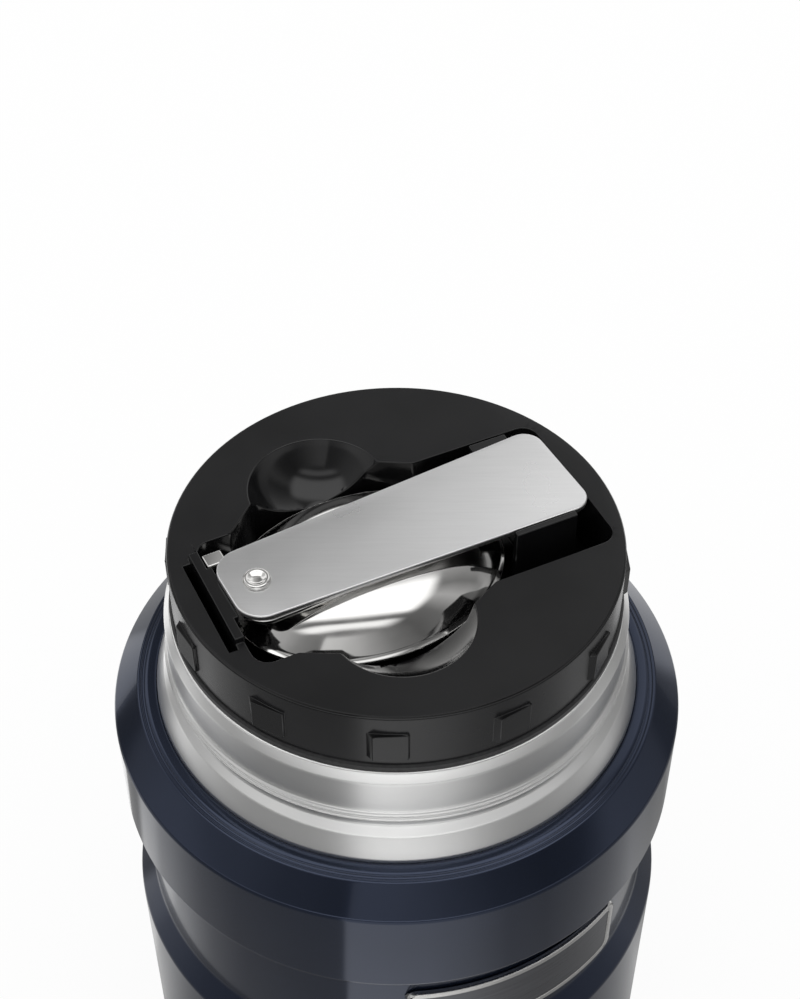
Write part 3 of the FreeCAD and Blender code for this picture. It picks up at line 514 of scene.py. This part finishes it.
def buildHandle(s):
    bm = bmesh.new()
    tail, end = (-s["tail"], s["tailHalf"]), (s["reach"], s["endHalf"])
    outline = [(tail[0], -tail[1]), tail, end, (end[0], -end[1])]
    bm.faces.new([bm.verts.new((x, y, 0)) for x, y in outline])
    for x, corner in ((tail[0], s["tailRound"]), (end[0], s["endRound"])):
        spots = [v for v in bm.verts if abs(v.co.x - x) < near]
        bmesh.ops.bevel(bm, geom=spots, offset=corner, affect="VERTICES", segments=s["cornerSteps"],
                        profile=0.5, material=-1)
    bmesh.ops.recalc_face_normals(bm, faces=bm.faces)
    made = bmesh.ops.extrude_face_region(bm, geom=bm.faces[:])["geom"]
    top = [g for g in made if isinstance(g, bmesh.types.BMVert)]
    bmesh.ops.translate(bm, vec=(0, 0, s["wall"]), verts=top)
    bmesh.ops.recalc_face_normals(bm, faces=bm.faces)
    rims = [e for e in bm.edges if abs(e.verts[0].co.z - e.verts[1].co.z) < near]
    bmesh.ops.bevel(bm, geom=rims, offset=s["edge"], offset_type="OFFSET", affect="EDGES",
                    segments=s["edgeSteps"], profile=0.5, material=-1)
    bmesh.ops.recalc_face_normals(bm, faces=bm.faces)
    seatSpoonPiece(bm)
    finishPiece(bm, "blankedHandle", "spoon_handle", ["handleSteel"], "handle")
    print("handle built")


# Rivet: flat head under the shank, and over the handle a peened rim round a shallow dimple
rivetHead = {
    "steps": 48,
    "edge": 0.06, "sharp": 50, "edgeSteps": 2,
    "profile": [(0.001, -1.9), (1.9, -1.9), (2.2, -1.6), (2.2, -1.25), (1.5, -1.25), (1.5, 1.06),
                (2.2, 1.06), (2.2, 1.32), (2.0, 1.62), (1.7, 1.74), (1.35, 1.62), (1.0, 1.34),
                (0.45, 1.24), (0.001, 1.26)],
}


def buildRivet(s):
    bm = spinSection(s["profile"], s["steps"])
    bmesh.ops.recalc_face_normals(bm, faces=bm.faces)
    seatSpoonPiece(bm)
    piece = finishPiece(bm, "peenedRivet", "rivet", ["bowlSteel"], "spoon")
    roundEdges(piece, s)
    print("rivet built")


buildShell(shell)
buildNeck(neck)
buildCap(cap)
buildCradle(cradle)
buildPlate(plate)
buildBowl(spoon)
buildHandle(handle)
buildRivet(rivetHead)


cameraSettings = {
    "place": (0.00057, -0.19272, 0.32186),      # metres
    "pitch": 44.636,                            # degrees below level
    "lens": 64.657, "sensor": 36,               # mm, the sensor along the frame's long side
    "nearest": 0.01,                            # metres, nothing closer is drawn
}


def placeCamera(s):
    data = bpy.data.cameras.new("photoCamera")
    data.sensor_width = s["sensor"]
    data.lens = s["lens"]
    data.clip_start = s["nearest"]
    camera = bpy.data.objects.new("photoCamera", data)
    camera.location = s["place"]
    camera.rotation_euler = Euler((math.radians(90 - s["pitch"]), 0, 0))
    scene.collection.objects.link(camera)
    scene.camera = camera
    print("camera placed")


studio = {
    "floorSize": 3.0,       # metres
    "floorColour": 0.9,     # what the floor throws back at dull surfaces
    "floorGlow": 0.92,      # share of the floor's white that shadows don't reach
    "fill": 0.95,           # plain level that lights every dull surface
    # what gloss sees: place on the round and brightness
    "floorPanels": [(0.0, 0.57), (0.022, 0.51), (0.06, 0.31), (0.10, 0.23), (0.17, 0.24), (0.204, 0.26),
                    (0.207, 0.9), (0.24, 0.9), (0.277, 0.81), (0.314, 0.59), (0.35, 0.31),
                    (0.386, 0.23), (0.423, 0.27), (0.459, 0.35), (0.496, 0.49), (0.533, 0.31),
                    (0.571, 0.23), (0.60, 0.35), (0.61, 0.94), (0.66, 0.94), (0.67, 0.69), (0.80, 0.51),
                    (0.872, 0.61), (0.876, 1.16), (0.922, 1.16), (0.926, 0.3), (0.955, 0.26),
                    (0.965, 0.73), (0.99, 0.73), (1.0, 0.57)],
    "roomPanels": [(0.0, 0.57), (0.05, 0.49), (0.10, 0.41), (0.14, 0.27), (0.204, 0.16), (0.207, 0.68),
                   (0.25, 0.61), (0.30, 0.41), (0.35, 0.2), (0.40, 0.11), (0.45, 0.16), (0.50, 0.47),
                   (0.54, 0.19), (0.58, 0.34), (0.62, 0.61), (0.66, 1.08), (0.70, 0.92), (0.75, 0.46),
                   (0.79, 0.19), (0.84, 0.27), (0.86, 1.08), (0.90, 1.08), (0.92, 0.61), (1.0, 0.57)],
    # the ceiling, from the viewer's side to the far side
    "ceiling": [(0.0, 1.0), (0.17, 1.1), (0.21, 0.25), (0.25, 0.2), (0.28, 1.2), (0.31, 1.2),
                (0.335, 0.15), (0.36, 0.25), (0.40, 1.5), (0.62, 1.5), (0.69, 0.3), (0.73, 0.3),
                (0.80, 0.6), (1.0, 0.7)],
    "ceilingStart": (0.76, 0.86),       # heights where it begins and where it is whole
    "lowBand": (0.40, 0.30),            # the same for the band above the table, which goes down
    "lowPanels": [(0.0, 0.6), (0.15, 0.9), (0.22, 1.5), (0.28, 1.5), (0.35, 0.9), (0.5, 0.5), (0.58, 0.25),
                  (0.67, 0.3), (0.71, 1.3), (0.82, 1.3), (0.85, 0.3), (0.92, 0.25), (1.0, 0.6)],
    "skyline": (0.12, 0.05), "skylineLevel": 0.15,      # the dark line where the room meets the table
}


def splitNode(tree, vector):
    return addNode(tree, "ShaderNodeSeparateXYZ", links={"Vector": vector})


# Panels by bearing: the round starts at -X and runs through the front, the right and the back
def bearingShade(tree, split, panels):
    turn = addNode(tree, "ShaderNodeMath", links={0: split.outputs["Y"], 1: split.outputs["X"]},
                   operation="ARCTAN2")
    share = addNode(tree, "ShaderNodeMapRange", {"From Min": -math.pi, "From Max": math.pi},
                    {"Value": turn.outputs[0]})
    return rampNode(tree, share.outputs["Result"], [(p, grey(v)) for p, v in panels])


# Rises softly from none to all between two values of the source
def riseNode(tree, source, ends):
    rise = addNode(tree, "ShaderNodeMapRange", {"From Min": ends[0], "From Max": ends[1]},
                   {"Value": source}, interpolation_type="SMOOTHSTEP")
    return rise.outputs["Result"]


# Mixes two colours by a share, on sockets 6 and 7; each is a plain colour or the output of a node
def mixNode(tree, share, first, second):
    sockets = {6: first, 7: second}
    plain = {key: colour for key, colour in sockets.items() if isinstance(colour, tuple)}
    linked = {key: colour for key, colour in sockets.items() if key not in plain}
    mix = addNode(tree, "ShaderNodeMix", plain, {0: share, **linked}, data_type="RGBA")
    return mix.outputs[2]


# Floor: white to the camera with a faint shadow, paper to dull surfaces, panels to gloss
def placeFloor(s):
    bm = bmesh.new()
    bmesh.ops.create_grid(bm, x_segments=1, y_segments=1, size=s["floorSize"] / 2)
    mesh = bpy.data.meshes.new("studioFloor")
    bm.to_mesh(mesh)
    bm.free()
    floor = bpy.data.objects.new("studioFloor", mesh)
    scene.collection.objects.link(floor)
    material = bpy.data.materials.new("studioPaper")
    material.use_nodes = True
    tree = material.node_tree
    tree.nodes.remove(tree.nodes["Principled BSDF"])
    coords = addNode(tree, "ShaderNodeTexCoord")
    shade = bearingShade(tree, splitNode(tree, coords.outputs["Object"]), s["floorPanels"])
    path = addNode(tree, "ShaderNodeLightPath")
    paper = addNode(tree, "ShaderNodeBsdfDiffuse", {"Color": grey(s["floorColour"])})
    glow = addNode(tree, "ShaderNodeEmission", {"Color": grey(1)})
    white = addNode(tree, "ShaderNodeBsdfDiffuse", {"Color": grey(1)})
    seen = addNode(tree, "ShaderNodeMixShader", {"Fac": s["floorGlow"]},
                   {1: white.outputs[0], 2: glow.outputs[0]})
    mirrored = addNode(tree, "ShaderNodeEmission", links={"Color": shade})
    other = addNode(tree, "ShaderNodeMixShader", links={
        "Fac": path.outputs["Is Glossy Ray"], 1: paper.outputs[0], 2: mirrored.outputs[0]})
    whole = addNode(tree, "ShaderNodeMixShader", links={
        "Fac": path.outputs["Is Camera Ray"], 1: other.outputs[0], 2: seen.outputs[0]})
    tree.links.new(whole.outputs[0], tree.nodes["Material Output"].inputs["Surface"])
    mesh.materials.append(material)
    print("floor placed")


# Round room: white to the camera, a plain fill to dull surfaces, panels by bearing and height to gloss
def lightStudio(s):
    world = bpy.data.worlds.new("studioRoom")
    scene.world = world
    world.use_nodes = True
    tree = world.node_tree
    split = splitNode(tree, addNode(tree, "ShaderNodeTexCoord").outputs["Generated"])
    depth, height = split.outputs["Y"], split.outputs["Z"]
    along = addNode(tree, "ShaderNodeMapRange", {"From Min": -1.0, "From Max": 1.0}, {"Value": depth})
    ceiling = rampNode(tree, along.outputs["Result"], [(p, grey(v)) for p, v in s["ceiling"]])
    walls = bearingShade(tree, split, s["roomPanels"])
    table = bearingShade(tree, split, s["lowPanels"])
    room = mixNode(tree, riseNode(tree, height, s["ceilingStart"]), walls, ceiling)
    room = mixNode(tree, riseNode(tree, height, s["lowBand"]), room, table)
    room = mixNode(tree, riseNode(tree, height, s["skyline"]), room, grey(s["skylineLevel"]))
    path = addNode(tree, "ShaderNodeLightPath")
    room = mixNode(tree, path.outputs["Is Glossy Ray"], grey(s["fill"]), room)
    room = mixNode(tree, path.outputs["Is Camera Ray"], room, grey(1))
    tree.links.new(room, tree.nodes["Background"].inputs["Color"])
    print("studio lit")


placeCamera(cameraSettings)
placeFloor(studio)
lightStudio(studio)
